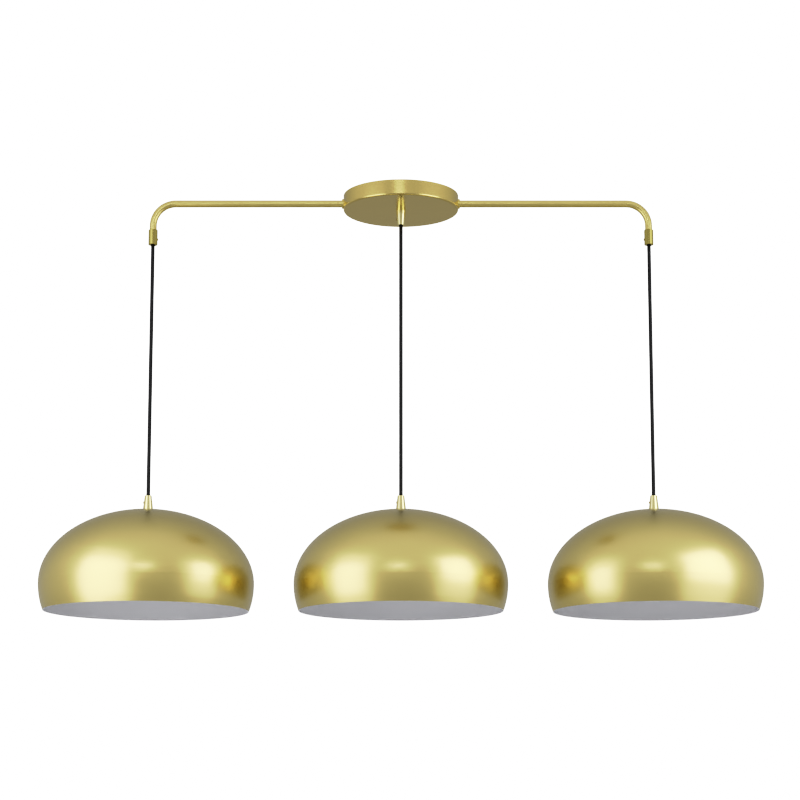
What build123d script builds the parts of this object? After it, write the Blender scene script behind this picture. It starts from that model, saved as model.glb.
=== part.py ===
from build123d import *
from math import acos, asin, cos, degrees, radians, sin, sqrt, tan
import os

# Linear island pendant: a round canopy, two bent side arms and three dome shades on cords.
# Frame: origin on the ceiling plane at the canopy's centre, X along the row of shades,
# +Z up, -Y towards the viewer. Millimetres and degrees.

# ---------------------------------------------------------------- canopy and its fixing
canopy_radius = 82.5
canopy_height = 22.0
canopy_wall = 1.0
canopy_edge_radius = 2.5

crossbar_length = 104.0
crossbar_width = 20.0
crossbar_thickness = 1.6
crossbar_offset = 8.0
crossbar_flat = 44.0
crossbar_ramp = 8.0
crossbar_bend_radius = 2.5
crossbar_corner_radius = 4.0
slot_spacing = 80.0
slot_length = 16.0
slot_radius = 2.4
ground_hole_x = 14.5
ground_screw_radius = 2.0
ground_head_radius = 3.8
ground_head_height = 2.6
ground_screw_length = 9.0
driver_slot_width = 1.0
driver_slot_depth = 1.0
terminal_thickness = 0.8
terminal_radius = 3.6
terminal_barrel_radius = 1.6
terminal_barrel_length = 5.5
terminal_tongue_width = 1.6
lead_inset = 0.5
lead_straight = 3.5
lead_bends = [2.5, 3.0]

# ---------------------------------------------------------------- lamp thread and nuts
thread_radius = 5.0
thread_clearance = 0.05
nipple_bore = 3.2
nipple_stand = 0.6
nipple_engagement = 9.0
nut_flats = 13.0
nut_thickness = 3.0
nut_chamfer = 0.5

# ---------------------------------------------------------------- arms and their ferrules
arm_radius = 5.0
arm_wall = 1.0
arm_reach = 355.5
arm_bend_radius = 32.0
arm_stub = 8.5
arm_insert = 9.0
collar_radius = 7.0
collar_thickness = 2.2
collar_chamfer = 0.5
washer_radius = 7.6
washer_thickness = 1.0
ferrule_radius = 6.5
ferrule_length = 22.5
ferrule_mouth_drop = 61.0
ferrule_chamfer = 0.7

# ---------------------------------------------------------------- cords and swinging ends
cord_radius = 2.6
cord_tail = 18.0
swing_angle = 20.0
knock_angle = 5.0
lip_thickness = 0.6
bush_height = 1.3
bush_wall = 0.6
bush_air = 0.15
mouth_air = 0.15
running_air = 0.25
cord_fit = 0.3
set_screw_radius = 1.5
set_screw_stand = 0.8
set_screw_air = 0.1
set_screw_rise = 2.0
key_flats = 1.5
key_depth = 1.0

# ---------------------------------------------------------------- conical cord grips
grip_height = 20.5
grip_mouth_radius = 4.7
grip_base_radius = 7.25
grip_screw_height = 10.8
mouth_bush_stand = 1.6
mouth_bush_depth = 3.0
mouth_bush_wall = 0.3
mouth_bush_grip = 0.1

# ---------------------------------------------------------------- shades
shade_drop = 456.0
shade_radius = 150.0
crown_height = 104.5
skirt_drop = 38.0
skirt_radius = 107.0
shade_wall = 1.0

# ---------------------------------------------------------------- lampholders (screw shell)
cap_radius = 18.0
cap_height = 17.0
cap_wall = 1.0
cap_corner_radius = 6.0
cap_lap = 10.0
cap_thread = 6.0
cap_boss_radius = 7.5
holder_length = 46.0
holder_taper = 1.5
holder_fit = 0.1
shell_bore = 13.2
shell_wall = 0.5
shell_length = 24.0
shell_air = 0.1
shell_recess = 3.0
contact_width = 6.0
contact_thickness = 0.6
contact_reach = 6.5
contact_sag = 3.0
contact_room = 4.5

# ---------------------------------------------------------------- wiring in the canopy
wire_radius = 0.95
wire_pitch = 1.27
wire_bend = 4.0
core_run = 11.0
connector_run = 8.0
core_grip = 1.0
connector_base_radius = 5.6
connector_tip_radius = 3.4
connector_length = 18.0
connector_depth = 11.0
connector_fit = 0.3
connector_x = 16.0
connector_y = 30.0

# ---------------------------------------------------------------- derived places
thread_hole = thread_radius + thread_clearance
arm_z = -canopy_height / 2
canopy_floor = -canopy_height + canopy_wall
side_mouth_z = arm_z - ferrule_mouth_drop
centre_mouth_z = -canopy_height - grip_height
apex_z = -shade_drop
skirt_z = apex_z - crown_height
strap_top = -crossbar_offset
strap_bottom = strap_top - crossbar_thickness
from_below = (Align.CENTER, Align.CENTER, Align.MIN)
quarter_turn = 90
past = 1.0  # how far a cutting tool runs past the face that it cuts


def bar(radius, z0, z1):
    """Solid cylinder about Z between two heights."""
    return Pos(0, 0, z0) * Cylinder(radius, z1 - z0, align=from_below)


def tube(outer, inner, z0, z1):
    """Round tube about Z between two heights."""
    return bar(outer, z0, z1) - bar(inner, z0 - past, z1 + past)


def along_x(shape, x, z):
    """Turn a shape made about Z so that its +Z end points along +X from (x, 0, z)."""
    return Pos(x, 0, z) * Rot(0, 90, 0) * shape


def mirrored(shape):
    """The same piece on the other end of the row."""
    return shape.mirror(Plane.YZ)


def hex_nut(bore, z0):
    """Chamfered hexagon nut with its lower face at z0."""
    top = z0 + nut_thickness
    corner = nut_flats / 2 / cos(radians(30))
    rounded = bar(corner, z0, top)
    rounded = chamfer(rounded.edges().filter_by(GeomType.CIRCLE), nut_chamfer)
    blank = extrude(Pos(0, 0, z0) * RegularPolygon(nut_flats / 2, 6, major_radius=False), nut_thickness)
    return (blank & rounded) - bar(bore, z0 - past, top + past)


def set_screw(tip, head, z):
    """Headless screw along +X at height z, from its tip's radius to its outer end's."""
    body = bar(set_screw_radius, tip, head)
    key = RegularPolygon(key_flats / 2, 6, major_radius=False)
    body -= Pos(0, 0, head - key_depth) * extrude(key, key_depth + past)
    return along_x(body, 0, z)


def screw_hole(z, reach):
    """Threaded hole that a set screw sits in, from the axis out along +X."""
    return along_x(bar(set_screw_radius + thread_clearance, 0, reach), 0, z)


def routed(points, radius, bends):
    """Round wire along straight runs joined by tangent arcs."""
    path = FilletPolyline(*points, radius=bends)
    return sweep(Plane(origin=path @ 0, z_dir=path % 0) * Circle(radius), path=path)


def dip(radius, half_width, height):
    """How far a dome's surface lies under its apex at this radius."""
    return height * (1 - sqrt(1 - (radius / half_width) ** 2))


class Swing:
    """Room round the two-axis bend of a cord in the mouth that it leaves by.

    Heights are above the bend's centre, which lies in the middle of the mouth's thin lip.
    """

    def __init__(self, sideways):
        fore = radians(swing_angle)
        side = radians(sideways)
        both = acos(cos(fore) * cos(side))
        half_lip = lip_thickness / 2
        self.mouth = cord_radius / cos(both) + half_lip * tan(both) + mouth_air
        self.hole_y = cord_radius + bush_air
        self.outer_y = self.hole_y + bush_wall
        self.low = (half_lip + running_air + self.outer_y * sin(fore)) / cos(fore)
        self.top = self.low + bush_height
        self.hole_x = cord_radius / cos(side) + self.top * tan(side) + bush_air
        self.outer_x = self.hole_x + bush_wall
        self.pocket = max(self.reach(turn, fore) for turn in range(0, 91)) + running_air
        self.held = self.top * cos(fore) + self.outer_y * sin(fore) + running_air
        self.screw = self.held + set_screw_radius + set_screw_rise

    def reach(self, turn, fore):
        """How far one point of the bush's top edge gets from the axis, tipped fore or aft."""
        y = self.outer_y * sin(radians(turn)) * cos(fore) + self.top * sin(fore)
        return sqrt((self.outer_x * cos(radians(turn))) ** 2 + y ** 2)

    def bush(self, pivot_z):
        """Rubber bush: an oval ring with a slot that the cord's top end leans along."""
        ring = Ellipse(self.outer_x, self.outer_y) - SlotOverall(2 * self.hole_x, 2 * self.hole_y)
        return extrude(Pos(0, 0, pivot_z + self.low) * ring, bush_height)

    def hollow(self, pivot_z):
        """What is cut from a mouth: the lip's hole and the pocket that the bush tips in."""
        roof = self.held + running_air
        hole = bar(self.mouth, pivot_z - lip_thickness, pivot_z + roof)
        return hole + bar(self.pocket, pivot_z + lip_thickness / 2, pivot_z + roof)


side_swing = Swing(swing_angle)
centre_swing = Swing(knock_angle)
side_pivot_z = side_mouth_z + lip_thickness / 2
centre_pivot_z = centre_mouth_z + lip_thickness / 2
pieces = {}

# ---------------------------------------------------------------- canopy and crossbar
cup = bar(canopy_radius, -canopy_height, 0)
cup = fillet(cup.edges().group_by(Axis.Z)[0], canopy_edge_radius)
hollow = bar(canopy_radius - canopy_wall, canopy_floor, past)
inner_edge_radius = max(canopy_edge_radius - canopy_wall, canopy_wall / 2)
hollow = fillet(hollow.edges().group_by(Axis.Z)[0], inner_edge_radius)
cup -= hollow
cup -= bar(thread_hole, -canopy_height - past, canopy_floor + past)
pieces["canopy_shell"] = cup - along_x(Cylinder(thread_hole, 2 * (canopy_radius + past)), 0, arm_z)

# The crossbar's ends lie against the outlet box, and its middle hangs lower in the canopy.
flat_x = crossbar_flat / 2
ramp_x = flat_x + crossbar_ramp
end_x = crossbar_length / 2
upper = [(-end_x, 0), (-ramp_x, 0), (-flat_x, strap_top), (flat_x, strap_top), (ramp_x, 0), (end_x, 0)]
lower = [(x, z - crossbar_thickness) for x, z in reversed(upper)]
side_view = make_face(Plane.XZ * Polyline(*upper, *lower, close=True))
strap = extrude(side_view, crossbar_width / 2, both=True)
bends = [e for e in strap.edges().filter_by(Axis.Y) if abs(e.center().X) < end_x - 1]
strap = fillet(bends, crossbar_bend_radius)
strap = fillet(strap.edges().filter_by(Axis.Z), crossbar_corner_radius)
slots = [Pos(s * slot_spacing / 2, 0) * SlotOverall(slot_length, 2 * slot_radius) for s in (-1, 1)]
strap -= extrude(Sketch() + slots, crossbar_offset + crossbar_thickness, both=True)
strap -= bar(thread_hole, strap_bottom - past, strap_top + past)
ground_hole = bar(ground_screw_radius + thread_clearance, strap_bottom - past, strap_top + past)
pieces["crossbar"] = strap - Pos(ground_hole_x, 0, 0) * ground_hole

head_z = strap_top + terminal_thickness
head = bar(ground_head_radius, head_z, head_z + ground_head_height)
head = chamfer(head.edges().group_by(Axis.Z)[-1], nut_chamfer)
driver_slot = Box(2 * ground_head_radius + past, driver_slot_width, 2 * driver_slot_depth)
head -= Pos(0, 0, head_z + ground_head_height) * driver_slot
shank = bar(ground_screw_radius, head_z - ground_screw_length, head_z)
pieces["ground_screw"] = Pos(ground_hole_x, 0, 0) * (head + shank)

ring = tube(terminal_radius, ground_screw_radius + thread_clearance, strap_top, head_z)
barrel_y = ground_head_radius + thread_clearance
barrel_z = strap_top + terminal_barrel_radius
barrel = tube(terminal_barrel_radius, wire_radius + thread_clearance, 0, terminal_barrel_length)
barrel = Pos(0, barrel_y, barrel_z) * Rot(-90, 0, 0) * barrel
tongue_length = barrel_y + terminal_barrel_length / 2
tongue = Box(terminal_tongue_width, tongue_length, terminal_thickness / 2, align=from_below)
tongue = Pos(0, tongue_length / 2, strap_top) * tongue
tongue -= bar(ground_screw_radius + thread_clearance, strap_top - past, head_z + past)
lead_bore = bar(wire_radius + thread_clearance, -past, tongue_length)
bore = Pos(0, barrel_y, barrel_z) * Rot(-90, 0, 0) * lead_bore
pieces["ground_terminal"] = Pos(ground_hole_x, 0, 0) * (ring + barrel + (tongue - bore))

# ---------------------------------------------------------------- centre fixing
nut_over = hex_nut(thread_hole, strap_top)
nut_under = hex_nut(thread_hole, strap_bottom - nut_thickness)
pieces["crossbar_nuts"] = Compound([nut_over, nut_under])
nipple_top = strap_top + nut_thickness + nipple_stand
nipple_foot = -canopy_height - nipple_engagement
pieces["centre_nipple"] = tube(thread_radius, nipple_bore, nipple_foot, nipple_top)


def cord_grip(mouth_z, base_z):
    """Turned cone between its narrow mouth and its wide base, bored for the lamp thread."""
    cone = Cone(grip_base_radius, grip_mouth_radius, abs(mouth_z - base_z), align=from_below)
    return Pos(0, 0, base_z) * (cone if mouth_z > base_z else Rot(180, 0, 0) * cone)


cord_bore = cord_radius + cord_fit
grip = cord_grip(centre_mouth_z, -canopy_height)
grip -= centre_swing.hollow(centre_pivot_z)
grip -= bar(cord_bore, centre_mouth_z, 0)
grip -= bar(thread_hole, nipple_foot - thread_clearance, 0)
screw_z = centre_pivot_z + centre_swing.screw
pieces["centre_grip"] = grip - mirrored(screw_hole(screw_z, grip_base_radius + past))
grip_slope = (grip_base_radius - grip_mouth_radius) / grip_height
screw_r = grip_mouth_radius + (screw_z - centre_mouth_z) * grip_slope
screw_tip = cord_radius + set_screw_air
pieces["centre_grip_screw"] = mirrored(set_screw(screw_tip, screw_r + set_screw_stand, screw_z))
pieces["centre_cord_tail"] = bar(cord_radius, centre_pivot_z + centre_swing.held, nipple_top - nipple_stand)

# ---------------------------------------------------------------- side arms
arm_start = canopy_radius - arm_stub
arm_foot = side_mouth_z + ferrule_length - arm_insert
arm_route = [(arm_start, 0, arm_z), (arm_reach, 0, arm_z), (arm_reach, 0, arm_foot)]
arm = routed(arm_route, arm_radius, arm_bend_radius)
arm -= routed(arm_route, arm_radius - arm_wall, arm_bend_radius)

ferrule = bar(ferrule_radius, side_mouth_z, side_mouth_z + ferrule_length)
ferrule = chamfer(ferrule.edges().filter_by(GeomType.CIRCLE), ferrule_chamfer)
ferrule -= side_swing.hollow(side_pivot_z)
ferrule -= bar(cord_bore, side_mouth_z, side_mouth_z + ferrule_length + past)
ferrule -= bar(arm_radius + thread_clearance, arm_foot, side_mouth_z + ferrule_length + past)
side_screw_z = side_pivot_z + side_swing.screw
ferrule -= mirrored(screw_hole(side_screw_z, ferrule_radius + past))
ferrule = Pos(arm_reach, 0, 0) * ferrule
side_screw = mirrored(set_screw(screw_tip, ferrule_radius + set_screw_stand, side_screw_z))
side_screw = Pos(arm_reach, 0, 0) * side_screw

cord_start = arm_start - cord_tail
cord_foot = side_pivot_z + side_swing.held
cord_route = [(cord_start, 0, arm_z), (arm_reach, 0, arm_z), (arm_reach, 0, cord_foot)]
arm_cord = routed(cord_route, cord_radius, arm_bend_radius)

collar = bar(collar_radius, canopy_radius - collar_thickness, canopy_radius + collar_thickness)
collar = chamfer(collar.edges().group_by(Axis.Z)[-1], collar_chamfer)
collar = along_x(collar - bar(thread_hole, 0, 2 * canopy_radius), 0, arm_z)
collar -= bar(canopy_radius, -canopy_height, 0)
washer_x = sqrt((canopy_radius - canopy_wall) ** 2 - washer_radius ** 2)
washer = along_x(tube(washer_radius, thread_hole, washer_x - washer_thickness, washer_x), 0, arm_z)
locknut = along_x(hex_nut(thread_hole, washer_x - washer_thickness - nut_thickness), 0, arm_z)

for side, turn in (("right", lambda shape: shape), ("left", mirrored)):
    pieces[f"arm_{side}"] = turn(arm)
    pieces[f"arm_ferrule_{side}"] = turn(ferrule)
    pieces[f"arm_cord_{side}"] = turn(arm_cord)
pieces["ferrule_screws"] = Compound([side_screw, mirrored(side_screw)])
pieces["arm_collars"] = Compound([collar, mirrored(collar)])
pieces["arm_washers"] = Compound([washer, mirrored(washer)])
pieces["arm_locknuts"] = Compound([locknut, mirrored(locknut)])

# ---------------------------------------------------------------- wiring in the canopy
connector_z = canopy_floor + connector_base_radius + connector_fit
floor_wire_z = canopy_floor + wire_radius + connector_fit
low_wire_z = arm_z - wire_radius
over_nipple_z = nipple_top + 2.5 * wire_radius
full_pitch = wire_pitch * 1.1
connector = Cone(connector_base_radius, connector_tip_radius, connector_length, align=from_below)
connector = fillet(connector.edges().group_by(Axis.Z)[-1], connector_tip_radius / 2)
connector -= bar(full_pitch + wire_radius + connector_fit, -1, connector_depth)
connector = Rot(-90, 0, 0) * connector
spots = {"live": (-connector_x, 1), "ground": (connector_x, 1), "neutral": (0, -1)}
seats = [Pos(x, way * connector_y, connector_z) * Rot(0, 0, 90 - 90 * way) for x, way in spots.values()]
pieces["wire_connectors"] = Compound([seat * connector for seat in seats])


# Where the cores from the left, centre and right, and the earth lead, lie in their connector.
three = {-1: 210, 0: 90, 1: -30}
four = {-1: -90, 0: 180, 1: 0, "lead": 90}


def core(angle, pitch=wire_pitch):
    """Offset of one core from the middle of its bundle."""
    return pitch * cos(radians(angle)), pitch * sin(radians(angle))


def connector_end(name, origin):
    """Last two points of a wire: before its connector's mouth, and its end inside."""
    x, way = spots[name]
    across, up = core(four[origin], full_pitch) if name == "ground" else core(three[origin])
    reaches = (-connector_run, connector_depth - core_grip)
    return [(x + across, way * (connector_y + reach), connector_z + up) for reach in reaches]


# Cores leave a side cord with live and neutral above ground, and turn off towards the connectors.
# Each way is the list of points between the cord's end and the connector's mouth.
cores = {"live": 30, "neutral": 150, "ground": -90}
ways = {
    ("live", -1): [],
    ("live", 1): [(connector_x, 12, low_wire_z)],
    ("neutral", -1): [],
    ("neutral", 1): [],
    ("ground", -1): [(-26, 11, floor_wire_z), (8, 16.5, floor_wire_z)],
    ("ground", 1): [],
}
over_edge = {"live": (-6, 11), "ground": (6, 11), "neutral": (0, -12)}
centre_cores = {"live": 150, "ground": 30, "neutral": -90}
wires = {name: [] for name in spots}
for (name, side), way in ways.items():
    y, z = core(cores[name])
    start = [(side * (cord_start - run), y, arm_z + z) for run in (0, core_run)]
    points = start + way + connector_end(name, side)
    wires[name].append(routed(points, wire_radius, wire_bend))
for name, edge in over_edge.items():
    x, y = core(centre_cores[name])
    points = [(x, y, nipple_top - nipple_stand), (x, y, over_nipple_z), (*edge, over_nipple_z)]
    points += connector_end(name, 0)
    wires[name].append(routed(points, wire_radius, [2 * wire_radius, wire_bend, wire_bend]))
barrel_end = barrel_y + terminal_barrel_length
lead_ends = (barrel_y + lead_inset, barrel_end + lead_straight)
lead = [(ground_hole_x, y, barrel_z) for y in lead_ends]
lead += connector_end("ground", "lead")
wires["ground"].append(routed(lead, wire_radius, lead_bends))
for name, group in wires.items():
    pieces[f"{name}_wires"] = Compound(group)

# ---------------------------------------------------------------- shade and what carries it
arc_turn = degrees(asin(skirt_drop / skirt_radius))
arc_centre = (shade_radius - skirt_radius, skirt_z)
outer_dome = (shade_radius, crown_height)
inner_dome = (shade_radius - shade_wall, crown_height - shade_wall)
outside = EllipticalCenterArc((0, skirt_z), *outer_dome, 0, arc_size=quarter_turn)
inside = EllipticalCenterArc((0, skirt_z), *inner_dome, 0, arc_size=quarter_turn)
skirt_outside = CenterArc(arc_centre, skirt_radius, 0, -arc_turn)
skirt_inside = CenterArc(arc_centre, skirt_radius - shade_wall, 0, -arc_turn)
rim = Line(skirt_outside @ 1, skirt_inside @ 1)
crown = Line(outside @ 1, inside @ 1)
profile = make_face(Plane.XZ * (Curve() + [outside, inside, skirt_outside, skirt_inside, rim, crown]))
shade = revolve(profile, Axis.Z) - bar(thread_hole, apex_z - thread_radius, apex_z + past)

grip_base_z = apex_z - dip(thread_hole, *outer_dome)
grip_top_z = grip_base_z + grip_height
screw_z = grip_base_z + grip_screw_height
screw_r = grip_base_radius - grip_screw_height * grip_slope
shade_grip = cord_grip(grip_top_z, grip_base_z) - bar(cord_bore, grip_base_z - past, grip_top_z + past)
shade_grip -= bar(thread_hole, grip_base_z - past, grip_base_z + nipple_engagement + thread_clearance)
bush_outer = cord_radius + mouth_bush_grip + mouth_bush_wall
bush_foot = grip_top_z - mouth_bush_depth
bush_top = grip_top_z + mouth_bush_stand
shade_grip -= bar(bush_outer + thread_clearance, bush_foot, grip_top_z + past)
shade_grip -= mirrored(screw_hole(screw_z, grip_base_radius + past))
cord_bush = tube(bush_outer, cord_radius + mouth_bush_grip, bush_foot, bush_top)
bush_edge = cord_bush.edges().group_by(Axis.Z)[-1].sort_by(SortBy.LENGTH)[-1]
cord_bush = fillet(bush_edge, mouth_bush_wall / 2)
grip_screw = mirrored(set_screw(screw_tip, screw_r + set_screw_stand, screw_z))

nut_corner = nut_flats / 2 / cos(radians(30))
nut_top = apex_z - shade_wall - dip(nut_corner, *inner_dome)
cap_top = nut_top - nut_thickness
cap_foot = cap_top - cap_height
shade_nut = hex_nut(thread_hole, cap_top)
shade_nipple = tube(thread_radius, nipple_bore, cap_top - cap_thread, grip_base_z + nipple_engagement)

# ---------------------------------------------------------------- lampholder
cap = bar(cap_radius, cap_foot, cap_top)
cap = fillet(cap.edges().group_by(Axis.Z)[-1], cap_corner_radius)
cap_hollow = bar(cap_radius - cap_wall, cap_foot - past, cap_top - cap_wall)
cap -= fillet(cap_hollow.edges().group_by(Axis.Z)[-1], cap_corner_radius - cap_wall)
cap += bar(cap_boss_radius, cap_top - cap_thread, cap_top - cap_wall / 2)
cap -= bar(thread_hole, cap_foot, cap_top + past)

holder_foot = cap_foot + cap_lap - holder_length
shell_z = holder_foot + shell_recess
cavity_roof = shell_z + shell_length + contact_room
holder = bar(cap_radius, holder_foot, cap_foot)
holder = chamfer(holder.edges().group_by(Axis.Z)[0], holder_taper)
holder += bar(cap_radius - cap_wall - holder_fit, cap_foot, cap_foot + cap_lap)
holder -= bar(shell_bore + shell_wall + shell_air, holder_foot - past, cavity_roof)
shell = tube(shell_bore + shell_wall, shell_bore, shell_z, shell_z + shell_length)
leaf = [(-contact_reach, 0), (-contact_reach / 2, 0), (0, -contact_sag), (contact_reach / 2, -contact_sag)]
leaf += [(x, z - contact_thickness) for x, z in reversed(leaf)]
leaf = extrude(make_face(Plane.XZ * Polyline(*leaf, close=True)), contact_width / 2, both=True)
contact = Pos(0, 0, cavity_roof) * leaf

cord_end_z = cap_top - cap_thread
stations = {
    "left": (-arm_reach, side_pivot_z, side_swing),
    "centre": (0, centre_pivot_z, centre_swing),
    "right": (arm_reach, side_pivot_z, side_swing),
}
for name, (x, pivot_z, swing) in stations.items():
    place = Pos(x, 0, 0)
    pieces[f"swing_bush_{name}"] = place * swing.bush(pivot_z)
    pieces[f"cord_{name}"] = place * bar(cord_radius, cord_end_z, pivot_z + swing.top)
    pieces[f"cord_bush_{name}"] = place * cord_bush
    pieces[f"shade_grip_{name}"] = place * shade_grip
    pieces[f"grip_screw_{name}"] = place * grip_screw
    pieces[f"shade_nipple_{name}"] = place * shade_nipple
    pieces[f"shade_{name}"] = place * shade
    pieces[f"shade_nut_{name}"] = place * shade_nut
    pieces[f"socket_cap_{name}"] = place * cap
    pieces[f"socket_body_{name}"] = place * holder
    pieces[f"socket_shell_{name}"] = place * shell
    pieces[f"socket_contact_{name}"] = place * contact

os.makedirs("parts", exist_ok=True)
for name, piece in pieces.items():
    export_step(piece, f"parts/{name}.step")

print("bends of the cords inside the arms, mm:", arm_bend_radius)
print("bend centres at z, mm: side", round(side_pivot_z, 3), "centre", round(centre_pivot_z, 3))
free_cords = [round(mouth_z - grip_top_z, 2) for mouth_z in (side_mouth_z, centre_mouth_z)]
print("free cord, mm: side", free_cords[0], "centre", free_cords[1])
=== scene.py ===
from math import cos, pi, radians, sin, tau

import bpy
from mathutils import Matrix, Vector


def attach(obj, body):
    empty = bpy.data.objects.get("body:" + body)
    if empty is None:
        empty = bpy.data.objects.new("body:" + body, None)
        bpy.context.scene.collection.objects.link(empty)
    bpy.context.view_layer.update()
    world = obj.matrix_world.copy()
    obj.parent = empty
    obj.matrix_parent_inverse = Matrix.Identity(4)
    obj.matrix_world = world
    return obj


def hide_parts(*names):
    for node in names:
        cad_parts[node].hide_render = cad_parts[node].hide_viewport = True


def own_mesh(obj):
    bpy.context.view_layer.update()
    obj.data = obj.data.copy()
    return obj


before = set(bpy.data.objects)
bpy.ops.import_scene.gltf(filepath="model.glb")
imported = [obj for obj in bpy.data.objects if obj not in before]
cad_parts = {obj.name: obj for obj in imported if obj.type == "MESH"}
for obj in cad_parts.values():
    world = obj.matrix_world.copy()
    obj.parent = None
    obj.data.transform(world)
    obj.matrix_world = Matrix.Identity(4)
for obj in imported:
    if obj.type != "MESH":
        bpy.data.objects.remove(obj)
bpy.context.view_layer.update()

# Linear island pendant: brass canopy, two bent arms, three dome shades on black cords.
# Metres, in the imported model's own frame: X along the row, -Y to the viewer, Z up, ceiling at 0.

ends = {"left": -0.3555, "centre": 0.0, "right": 0.3555}

# ---------------------------------------------------------------- camera
picture_px = 800
lens_px = 2075.0
sensor_mm = 36.0
tip_up = 8.77
camera_data = bpy.data.cameras.new("camera")
camera_data.sensor_width = sensor_mm
camera_data.lens = lens_px / picture_px * sensor_mm
camera_data.shift_y = 0.12
camera = bpy.data.objects.new("camera", camera_data)
camera.location = (-0.0013, -2.885, -0.881)
camera.rotation_euler = (radians(90 + tip_up), 0, 0)
bpy.context.scene.collection.objects.link(camera)
bpy.context.scene.camera = camera


# ---------------------------------------------------------------- mesh helpers
def piece_from(name, points, faces):
    """Smooth mesh object from its points and faces."""
    mesh = bpy.data.meshes.new(name)
    mesh.from_pydata([tuple(p) for p in points], [], faces)
    mesh.validate()
    mesh.polygons.foreach_set("use_smooth", [True] * len(mesh.polygons))
    mesh.update()
    piece = bpy.data.objects.new(name, mesh)
    bpy.context.scene.collection.objects.link(piece)
    return piece


def level_ring(centre, radii, way=1):
    """Level ring of points about a centre, one for each radius; way -1 runs clockwise."""
    cx, cy, cz = centre
    angles = [way * tau * k / len(radii) for k in range(len(radii))]
    return [(cx + r * cos(angle), cy + r * sin(angle), cz) for r, angle in zip(radii, angles)]


def skin(rings, closed=False):
    """Points and faces of a tube through rings of equal length."""
    sides = len(rings[0])
    points = [p for ring in rings for p in ring]
    faces = []
    last = len(rings) if closed else len(rings) - 1
    for row in range(last):
        here = row * sides
        there = (row + 1) % len(rings) * sides
        for side in range(sides):
            after = (side + 1) % sides
            faces.append((here + side, here + after, there + after, there + side))
    return points, faces


def capped(rings):
    """A tube through rings with a flat cap at each end."""
    points, faces = skin(rings)
    sides = len(rings[0])
    faces.append(tuple(range(sides))[::-1])
    faces.append(tuple(len(points) - sides + side for side in range(sides)))
    return points, faces


def wall_rings(radius_at, start, end, x, step, sides):
    """Rings about the upright axis at x, between two heights, of radius_at(turns, height)."""
    count = max(1, round(abs(end - start) / step))
    rings = []
    for row in range(count + 1):
        z = start + (end - start) * row / count
        radii = [radius_at(k / sides, z) for k in range(sides)]
        rings.append(level_ring((x, 0, z), radii))
    return rings


# ---------------------------------------------------------------- cords
cord_radius = 0.0026
cord_sides = 24
cord_foot = -0.466131
cord_tops = {"left": -0.068595, "centre": -0.039095, "right": -0.068595}
height_travel = 0.25


def smooth_route(points):
    """Points along the smooth line that a cord's route of control points makes."""
    curve = bpy.data.curves.new("route", "CURVE")
    curve.dimensions = "3D"
    curve.resolution_u = 12
    spline = curve.splines.new("NURBS")
    spline.points.add(len(points) - 1)
    for knot, point in zip(spline.points, points):
        knot.co = (*point, 1)
    spline.order_u = 3
    spline.use_endpoint_u = True
    holder = bpy.data.objects.new("route", curve)
    bpy.context.scene.collection.objects.link(holder)
    bpy.context.view_layer.update()
    line = bpy.data.meshes.new_from_object(holder)
    found = [tuple(v.co) for v in line.vertices]
    bpy.data.objects.remove(holder)
    bpy.data.curves.remove(curve)
    bpy.data.meshes.remove(line)
    return found


cords = {}
for place, x in ends.items():
    top = cord_tops[place]
    route = [(x, 0, top), (x, 0, (top + cord_foot) / 2), (x, 0, cord_foot)]
    centres = smooth_route(route)
    if centres[0][2] < centres[-1][2]:
        centres.reverse()
    rings = [level_ring(centre, [cord_radius] * cord_sides, -1) for centre in centres]
    cord = piece_from(f"hanging_cord_jacket_{place}", *capped(rings))
    for face in cord.data.polygons:
        face.use_smooth = len(face.vertices) == 4
    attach(cord, f"hanging_cord_{place}")
    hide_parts(f"cord_{place}")
    length = top - cord_foot
    (length - height_travel) / length
    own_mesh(cord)
    cords[place] = cord


# ---------------------------------------------------------------- threads and ribs
sharp_from = radians(40)


def stand_in(piece, node, body):
    """The piece takes the place of a plain node and moves with the same body."""
    piece.data.set_sharp_from_angle(angle=sharp_from)
    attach(piece, body)
    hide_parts(node)
    return piece


def threaded_tube(name, x, foot, top):
    """Threaded tube: a cut V thread from end to end, run out at both ends, and a plain bore."""
    crest, bore, pitch, depth = 0.005, 0.0032, 0.001, 0.00058
    run_out, flank_slope = 0.0007, 1.15
    sides, rows_per_turn = 40, 8

    def outside(turns, z):
        groove = abs(2 * ((z / pitch - turns) % 1) - 1)
        end_relief = max(0.0, 1 - min(z - foot, top - z) / run_out)
        return crest - depth * max(min(1.0, groove * flank_slope), end_relief)

    outer = wall_rings(outside, foot, top, x, pitch / rows_per_turn, sides)
    inner = wall_rings(lambda turns, z: bore, top, foot, x, top - foot, sides)
    return piece_from(name, *skin(outer + inner, closed=True))


def rolled_shell(name, x, foot, top):
    """Lamp screw shell: sheet brass rolled to a round thread that fades at both ends."""
    bore, wall, pitch, depth = 0.0132, 0.0004, 0.003629, 0.00075
    plain_end, fade = 0.0006, 0.0018
    sides, rows_per_turn = 64, 14

    def inside(turns, z):
        held = max(0.0, min(1.0, (min(z - foot, top - z) - plain_end) / fade))
        wave = 0.5 - 0.5 * cos(tau * (z / pitch - turns))
        return bore - depth * wave * held

    def outside(turns, z):
        return inside(turns, z) + wall

    outer = wall_rings(outside, foot, top, x, pitch / rows_per_turn, sides)
    inner = wall_rings(inside, top, foot, x, pitch / rows_per_turn, sides)
    return piece_from(name, *skin(outer + inner, closed=True))


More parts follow.
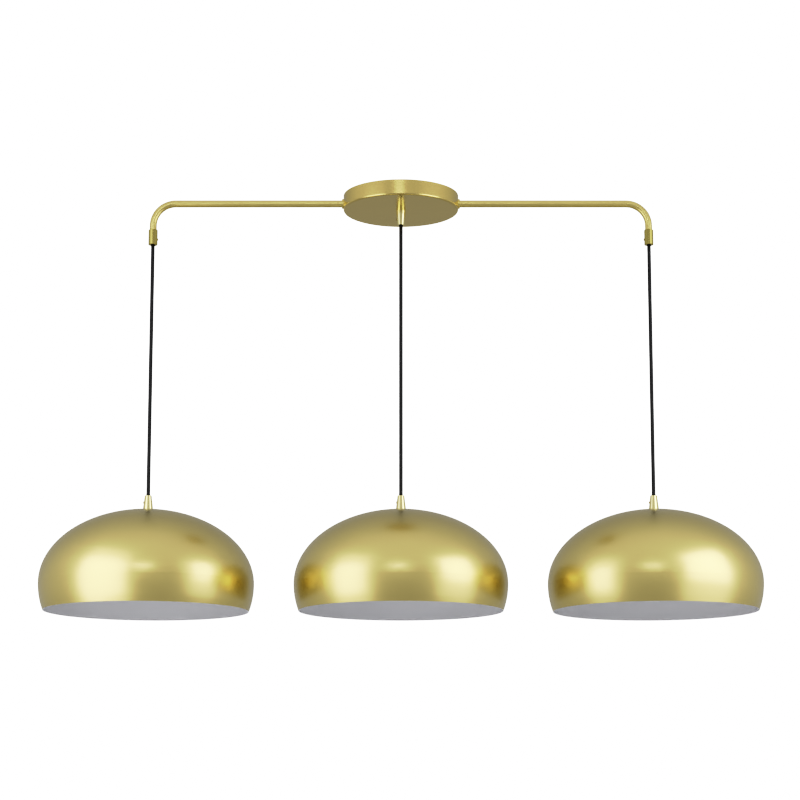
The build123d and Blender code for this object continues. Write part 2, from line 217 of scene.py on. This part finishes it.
def ribbed_connector(x, z, way):
    """Twist-on wire connector lying along Y: smooth skirt, ribbed cone and rounded tip."""
    mouth, length, steps = 0.030, 0.018, 30
    base, tip, round_end = 0.0056, 0.0034, 0.0017
    skirt_bevel, skirt_length = 0.0003, 0.0035
    bore, bore_depth, bore_bevel = 0.002647, 0.011, 0.0004
    ribs, points_per_rib, rib_height, rib_fade, rib_slope = 16, 6, 0.0006, 0.0012, 1.6
    pinhole = 0.00002

    # Radius, distance from the mouth and depth of the valleys, from the bore's end to the tip.
    outline = [(pinhole, bore_depth, 0), (bore, bore_depth, 0)]
    outline += [(bore, bore_bevel, 0), (bore + bore_bevel, 0, 0)]
    outline += [(base - skirt_bevel, 0, 0), (base, skirt_bevel, 0)]
    for step in range(1, steps):
        along = length * step / steps
        radius = base + (tip - base) * along / length
        near_tip = max(0.0, along - (length - round_end)) / round_end
        radius -= round_end * (1 - max(0.0, 1 - near_tip ** 2) ** 0.5)
        from_skirt = (along - skirt_length) / rib_fade
        from_tip = (length - rib_fade - along) / rib_fade
        outline.append((radius, along, rib_height * max(0.0, min(1.0, from_skirt, from_tip))))
    outline += [(tip - round_end, length, 0), (pinhole, length, 0)]

    sides = ribs * points_per_rib
    rings = []
    for radius, along, valley_depth in outline:
        ring = []
        for k in range(sides):
            crest = min(1.0, rib_slope * abs(2 * (k / points_per_rib % 1) - 1))
            r = radius - valley_depth * (1 - crest)
            angle = -way * tau * k / sides
            ring.append((x + r * cos(angle), way * (mouth + along), z + r * sin(angle)))
        rings.append(ring)
    return capped(rings)


def joined(name, parts):
    """One mesh object from several lots of points and faces."""
    points, faces = [], []
    for part_points, part_faces in parts:
        faces += [tuple(len(points) + k for k in face) for face in part_faces]
        points += part_points
    return piece_from(name, points, faces)


# Body, x, foot and top of each piece that gets a thread.
threaded = {"centre_nipple": ("fixed_frame", 0.0, -0.031, -0.0044)}
shells = {}
for place, x in ends.items():
    threaded[f"shade_nipple_{place}"] = (f"pendant_{place}", x, -0.466131, -0.447059)
    shells[f"socket_shell_{place}"] = (f"pendant_{place}", x, -0.510131, -0.486131)
metal_pieces = {}
for node, (body, x, foot, top) in threaded.items():
    tube = threaded_tube(f"threaded_{node}", x, foot, top)
    metal_pieces[node] = stand_in(tube, node, body)
for node, (body, x, foot, top) in shells.items():
    shell = rolled_shell(f"rolled_{node}", x, foot, top)
    metal_pieces[node] = stand_in(shell, node, body)
connector_z = -0.0151
connector_spots = ((-0.016, 1), (0.016, 1), (0.0, -1))
connectors = joined(
    "ribbed_wire_connectors",
    [ribbed_connector(x, connector_z, way) for x, way in connector_spots],
)
metal_pieces["wire_connectors"] = stand_in(
    connectors, "wire_connectors", "fixed_frame",
)


# ---------------------------------------------------------------- finishes
class Value:
    """One value in a finish. Sums and products of values add Math nodes to it."""

    def __init__(self, finish, socket):
        self.finish = finish
        self.socket = socket

    def maths(self, operation, *others):
        return self.finish.maths(operation, self, *others)

    def __add__(self, other):
        return self.maths("ADD", other)

    __radd__ = __add__

    def __mul__(self, other):
        return self.maths("MULTIPLY", other)

    __rmul__ = __mul__

    def __sub__(self, other):
        return self.maths("SUBTRACT", other)

    def __rsub__(self, other):
        return self.finish.maths("SUBTRACT", other, self)

    def __truediv__(self, other):
        return self.maths("DIVIDE", other)

    def __pow__(self, other):
        return self.maths("POWER", other)

    def over(self, level):
        """1 where the value is over the level and 0 elsewhere."""
        return self.maths("GREATER_THAN", level)

    def kept(self):
        """The value held between 0 and 1."""
        return self.maths("MINIMUM", 1.0).maths("MAXIMUM", 0.0)

    def swing(self, amount):
        """A value from 0 to 1 moved to swing evenly about 0."""
        return (self - 0.5) * amount


class Finish:
    """A material, or the world, built node by node."""

    def __init__(self, name, tree=None):
        if tree is None:
            self.material = bpy.data.materials.new(name)
            self.material.use_nodes = True
            tree = self.material.node_tree
        self.tree = tree
        self.tree.nodes.clear()

    def node(self, kind, settings=None, sockets=None, out=0):
        """Adds a node: its settings first, then values or links by socket name or number."""
        made = self.tree.nodes.new(kind)
        for name, setting in (settings or {}).items():
            setattr(made, name, setting)
        for name, value in (sockets or {}).items():
            if isinstance(name, int):
                socket = made.inputs[name]
            else:
                socket = next(s for s in made.inputs if s.name == name and s.enabled)
            if isinstance(value, Value):
                self.tree.links.new(value.socket, socket)
            elif isinstance(value, tuple) and len(value) == 3 and socket.type == "RGBA":
                socket.default_value = (*value, 1)
            else:
                socket.default_value = value
        if not made.outputs:
            return None
        if isinstance(out, str):
            found = next(s for s in made.outputs if s.name == out and s.enabled)
        else:
            found = made.outputs[out]
        return Value(self, found)

    def maths(self, operation, *terms):
        """A Math node over its terms, which are values or numbers."""
        return self.node("ShaderNodeMath", {"operation": operation}, dict(enumerate(terms)))

    def mix(self, factor, first, second):
        """Colour between two colours."""
        sockets = {"Factor": factor, "A": first, "B": second}
        return self.node("ShaderNodeMix", {"data_type": "RGBA"}, sockets, out="Result")

    def part(self, vector):
        """The x, y and z of a vector."""
        made = self.node("ShaderNodeSeparateXYZ", None, {0: vector})
        outputs = made.socket.node.outputs
        return [Value(self, outputs[k]) for k in range(3)]

    def place(self):
        """Where the point lies on its own piece, in metres."""
        return self.node("ShaderNodeTexCoord", out="Object")

    def scaled(self, vector, factors):
        """A vector times three factors."""
        sockets = {0: vector, 1: factors}
        return self.node("ShaderNodeVectorMath", {"operation": "MULTIPLY"}, sockets)

    def noise(self, vector, scale, detail=3.0, rough=0.5):
        """Even noise from 0 to 1; scale is in cells per metre."""
        sockets = {"Vector": vector, "Scale": scale, "Detail": detail, "Roughness": rough}
        return self.node("ShaderNodeTexNoise", None, sockets)

    def bump(self, height, distance, strength):
        """A normal tipped by a height whose full range is a distance in metres."""
        sockets = {"Height": height, "Distance": distance, "Strength": strength}
        return self.node("ShaderNodeBump", None, sockets, out="Normal")

    def surface(self, **sockets):
        """The Principled surface and the material's output."""
        named = {name.replace("_", " "): value for name, value in sockets.items()}
        shader = self.node("ShaderNodeBsdfPrincipled", None, named)
        self.node("ShaderNodeOutputMaterial", None, {"Surface": shader})
        return self.material


def around(finish, x):
    """Cylinder coordinates about an upright axis at x: angle in turns, radius and height."""
    px, py, pz = finish.part(finish.place())
    across = px - x
    turn = py.maths("ARCTAN2", across) / tau
    radius = (across * across + py * py).maths("SQRT")
    return turn, radius, pz


def pair_near(colour, low, high):
    """The colour times a low and a high factor."""
    return tuple(c * low for c in colour), tuple(min(c * high, 1) for c in colour)


brass = (0.82, 0.715, 0.345)
pale_brass = (0.88, 0.81, 0.48)
shade_middle_z = -0.5605


def satin_brass(name, along, fine=420.0, relief=0.000004, rough=0.33, colour=brass):
    """Satin brass with a grain drawn out by the factors along, and faint cloudiness."""
    f = Finish(name)
    grain = f.noise(f.scaled(f.place(), along), scale=fine, detail=2.0, rough=0.6)
    cloud = f.noise(f.place(), scale=22.0, rough=0.55)
    tone = cloud.swing(0.5) + grain.swing(0.7) + 0.5
    sockets = {"Normal": f.bump(grain, relief, 0.35)} if relief else {}
    return f.surface(
        Base_Color=f.mix(tone, *pair_near(colour, low=0.955, high=1.045)),
        Metallic=1.0,
        Roughness=rough + grain.swing(0.05) + cloud.swing(0.04),
        **sockets,
    )


def shade_finish(name, x):
    """Satin brass outside with faint spinning rings, and plain white enamel inside."""
    f = Finish(name)
    middle = f.node("ShaderNodeCombineXYZ", None, {0: x, 1: 0.0, 2: shade_middle_z})
    outward = f.node("ShaderNodeVectorMath", {"operation": "SUBTRACT"}, {0: f.place(), 1: middle})
    normal = f.node("ShaderNodeTexCoord", out="Normal")
    sockets = {0: outward, 1: normal}
    facing = f.node("ShaderNodeVectorMath", {"operation": "DOT_PRODUCT"}, sockets, out="Value")
    outside = facing.over(0.0)
    inside = 1 - outside

    turn, radius, height = around(f, x)
    ring_place = f.node("ShaderNodeCombineXYZ", None, {0: turn * 0.35, 1: radius, 2: height})
    rings = f.noise(ring_place, scale=420.0, rough=0.6)
    cloud = f.noise(f.place(), scale=16.0, rough=0.55)
    tone = f.mix(cloud.swing(0.6) + 0.5, *pair_near(brass, low=0.965, high=1.035))
    brass_rough = 0.335 + rings.swing(0.08) + cloud.swing(0.04)

    peel = f.noise(f.place(), scale=700.0, detail=2.0)
    patches = f.noise(f.place(), scale=9.0, detail=2.0)
    enamel = f.mix(patches, (0.74, 0.74, 0.76), (0.79, 0.79, 0.805))
    enamel_rough = 0.42 + peel * 0.1
    return f.surface(
        Base_Color=f.mix(inside, tone, enamel),
        Metallic=outside,
        Roughness=brass_rough * outside + enamel_rough * inside,
        Normal=f.bump(rings * outside + peel * inside * 2.0, 0.00004, 0.35),
        Coat_Weight=outside,
        Coat_Roughness=0.25,
    )


def polished_brass(name, rough, colour=pale_brass, relief=0.000002):
    """Turned and polished brass with faint tool rings."""
    f = Finish(name)
    rings = f.noise(f.scaled(f.place(), (0.02, 0.02, 1.0)), scale=2600.0, detail=2.0, rough=0.6)
    cloud = f.noise(f.place(), scale=160.0, detail=2.0)
    sockets = {"Normal": f.bump(rings, relief, 0.3)} if relief else {}
    return f.surface(
        Base_Color=f.mix(cloud, *pair_near(colour, low=0.97, high=1)),
        Metallic=1.0,
        Roughness=rough + rings * 0.03,
        **sockets,
    )


def plated_steel(name, colour, rough):
    """Plated steel: faint crystals in its colour and roughness."""
    f = Finish(name)
    grain = f.noise(f.place(), scale=500.0, rough=0.6)
    return f.surface(
        Base_Color=f.mix(grain, *pair_near(colour, low=0.88, high=1.08)),
        Metallic=1.0,
        Roughness=rough + grain.swing(0.14),
        Normal=f.bump(grain, 0.00002, 0.3),
    )


def moulded(name, colour, rough, fine=900.0):
    """Moulded or extruded plastic or rubber with a fine skin."""
    f = Finish(name)
    grain = f.noise(f.place(), scale=fine, rough=0.6)
    cloud = f.noise(f.place(), scale=60.0, detail=2.0)
    return f.surface(
        Base_Color=f.mix(cloud, *pair_near(colour, low=0.85, high=1.12)),
        Metallic=0.0,
        Roughness=rough + grain.swing(0.12),
        Normal=f.bump(grain, 0.00003, 0.5),
    )


def cord_finish(name):
    """Matt black jacket with the faint lengthwise lines of its extrusion."""
    f = Finish(name)
    lines = f.noise(f.scaled(f.place(), (1.0, 1.0, 0.03)), scale=1500.0, rough=0.6)
    cloud = f.noise(f.place(), scale=45.0, detail=2.0)
    return f.surface(
        Base_Color=f.mix(cloud, (0.035, 0.035, 0.037), (0.048, 0.048, 0.050)),
        Roughness=0.5 + lines.swing(0.1),
        Normal=f.bump(lines, 0.00001, 0.2),
    )


finishes = {
    "canopy": satin_brass(
        "satin_brass_canopy", along=(0.05, 1.0, 1.0), relief=0.000002, rough=0.20,
        colour=(0.84, 0.71, 0.34),
    ),
    "arms": satin_brass(
        "satin_brass_arms", along=(1.0, 1.0, 1.0), fine=60.0, relief=0.0, rough=0.31,
        colour=(0.82, 0.72, 0.36),
    ),
    "collars": satin_brass("satin_brass_collars", along=(1.0, 0.05, 0.05)),
    # The ferrules' base colour is much darker than the grips' brass: painted shade that stands in
    # for the dark surroundings the turned brass reflects.
    "ferrules": polished_brass(
        "turned_brass_ferrules_painted_shade", 0.06, colour=(0.60, 0.53, 0.23), relief=0.0,
    ),
    "grips": polished_brass("polished_brass_grips", 0.06),
    "lampholder_brass": polished_brass("lampholder_brass", 0.24),
    "zinc": plated_steel("zinc_plated_steel", (0.60, 0.61, 0.62), 0.34),
    "screws": plated_steel("brass_plated_screws", (0.55, 0.46, 0.25), 0.32),
    "green_screw": plated_steel("green_dyed_screw", (0.07, 0.30, 0.12), 0.35),
    "cord": cord_finish("black_cord_jacket"),
    "rubber": moulded("black_rubber", (0.012, 0.012, 0.012), 0.62),
    "connector": moulded("connector_plastic", (0.72, 0.26, 0.05), 0.38),
    "live": moulded("live_insulation", (0.015, 0.015, 0.016), 0.36),
    "neutral": moulded("neutral_insulation", (0.80, 0.80, 0.77), 0.36),
    "ground": moulded("ground_insulation", (0.06, 0.33, 0.12), 0.36),
    "phenolic": moulded("black_phenolic", (0.022, 0.019, 0.018), 0.34, fine=1200.0),
}
for place, x in ends.items():
    finishes[f"shade_{place}"] = shade_finish(f"shade_enamel_and_brass_{place}", x)
    cords[place].data.materials.append(finishes["cord"])

finish_of = {
    "canopy_shell": "canopy", "arm_left": "arms", "arm_right": "arms", "arm_collars": "collars",
    "arm_ferrule_left": "ferrules", "arm_ferrule_right": "ferrules", "ferrule_screws": "screws",
    "centre_grip": "grips", "centre_grip_screw": "screws", "crossbar": "zinc",
    "crossbar_nuts": "zinc", "centre_nipple": "zinc", "arm_washers": "zinc",
    "arm_locknuts": "zinc", "ground_terminal": "zinc", "ground_screw": "green_screw",
    "arm_cord_left": "cord", "arm_cord_right": "cord", "centre_cord_tail": "cord",
    "wire_connectors": "connector", "live_wires": "live", "neutral_wires": "neutral",
    "ground_wires": "ground",
}
for place in ends:
    finish_of.update({
        f"swing_bush_{place}": "rubber",
        f"cord_{place}": "cord",
        f"cord_bush_{place}": "rubber",
        f"shade_grip_{place}": "grips",
        f"grip_screw_{place}": "screws",
        f"shade_nipple_{place}": "zinc",
        f"shade_{place}": f"shade_{place}",
        f"shade_nut_{place}": "zinc",
        f"socket_cap_{place}": "lampholder_brass",
        f"socket_body_{place}": "phenolic",
        f"socket_shell_{place}": "lampholder_brass",
        f"socket_contact_{place}": "lampholder_brass",
    })
for name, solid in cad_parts.items():
    solid.data.materials.clear()
    solid.data.materials.append(finishes[finish_of[name]])
for name, piece in metal_pieces.items():
    piece.data.materials.append(finishes[finish_of[name]])

# ---------------------------------------------------------------- floor, lights and world
floor_z = -1.9
reach = 30.0
corners = ((-reach, -reach), (reach, -reach), (reach, reach), (-reach, reach))
floor = piece_from("floor", [(*corner, floor_z) for corner in corners], [(0, 1, 2, 3)])
floor_finish = Finish("pale_floor")
patches = floor_finish.noise(floor_finish.place(), scale=0.6)
pale = floor_finish.mix(patches, (0.80, 0.80, 0.80), (0.84, 0.84, 0.84))
floor.data.materials.append(floor_finish.surface(
    Base_Color=pale, Roughness=0.9, Emission_Color=pale, Emission_Strength=1.0,
))
floor.visible_glossy = False
floor.visible_diffuse = False


def soft_light(name, centre, aim_z, width, height, radiance):
    """Soft rectangle of a given radiance, aimed at the canopy's axis, unseen by the camera."""
    light = bpy.data.lights.new(name, "AREA")
    light.shape = "RECTANGLE"
    light.size = width
    light.size_y = height
    light.energy = radiance * width * height * pi
    lamp = bpy.data.objects.new(name, light)
    bpy.context.scene.collection.objects.link(lamp)
    lamp.location = centre
    facing = Vector((0, 0, aim_z)) - Vector(centre)
    lamp.rotation_euler = facing.to_track_quat("-Z", "Y").to_euler()
    lamp.visible_camera = False
    return lamp


# Centre, height aimed at, width, height and radiance.
soft_light("left_box", (-0.727, -0.563, -0.545), -0.545, 0.64, 0.73, 0.36)
soft_light("left_halo", (-0.75, -0.58, -0.50), -0.50, 0.70, 1.40, 0.36)
soft_light("right_box", (0.886, -0.534, -0.26), -0.26, 0.72, 0.70, 0.42)
soft_light("right_halo", (0.905, -0.55, -0.45), -0.45, 0.80, 1.30, 0.37)
soft_light("key", (-0.18, -3.4, 0.61), -0.4, 1.0, 0.36, 1.75)
bounce = soft_light("floor_bounce", (0, -0.3, -1.5), -0.6, 1.8, 1.0, 0.47)
bounce.visible_glossy = False

world = bpy.data.worlds.new("studio")
bpy.context.scene.world = world
world.use_nodes = True
studio = Finish("studio", world.node_tree)
dx, dy, dz = studio.part(studio.node("ShaderNodeTexCoord", out="Generated"))
# A little brighter from above in front and from both sides, and darker behind.
above_front = (dz * 0.87 - dy * 0.5).kept()
behind = dy.kept() * dz.maths("ABSOLUTE")
sideways = (dx.maths("ABSOLUTE") * 0.9 + dz * 0.3).kept()
even_light, front_light, side_light, rear_shade = 0.23, 0.14, 0.11, 0.08
brightness = even_light + above_front * above_front * front_light + sideways ** 4 * side_light
brightness = brightness - behind * rear_shade
white = (1.0, 1.0, 1.0)
lit = studio.node("ShaderNodeBackground", None, {"Color": white, "Strength": brightness})
backdrop = studio.node("ShaderNodeBackground", None, {"Color": white, "Strength": 1.0})
seen = studio.node("ShaderNodeLightPath", out="Is Camera Ray")
shown = studio.node("ShaderNodeMixShader", None, {0: seen, 1: lit, 2: backdrop})
studio.node("ShaderNodeOutputWorld", None, {"Surface": shown})


def toned(level):
    """The photograph's tone: soft in the darks, then rolling off to white at 1."""
    knee, dark_power, roll_off = 0.3, 1.7, 2.2
    soft = level if level > knee else knee * (level / knee) ** dark_power
    return 1 - (1 - soft) ** roll_off


view = bpy.context.scene.view_settings
view.view_transform = "Standard"
view.look = "None"
view.use_curve_mapping = True
mapping = view.curve_mapping
response = mapping.curves[3]
levels = (0.0, 0.02, 0.05, 0.1, 0.15, 0.2, 0.25, 0.3, 0.36, 0.45, 0.6, 0.75, 0.88, 1.0)
for level in levels[1:-1]:
    response.points.new(level, 0.0)
for point, level in zip(response.points, levels):
    point.location = (level, toned(level))
mapping.update()
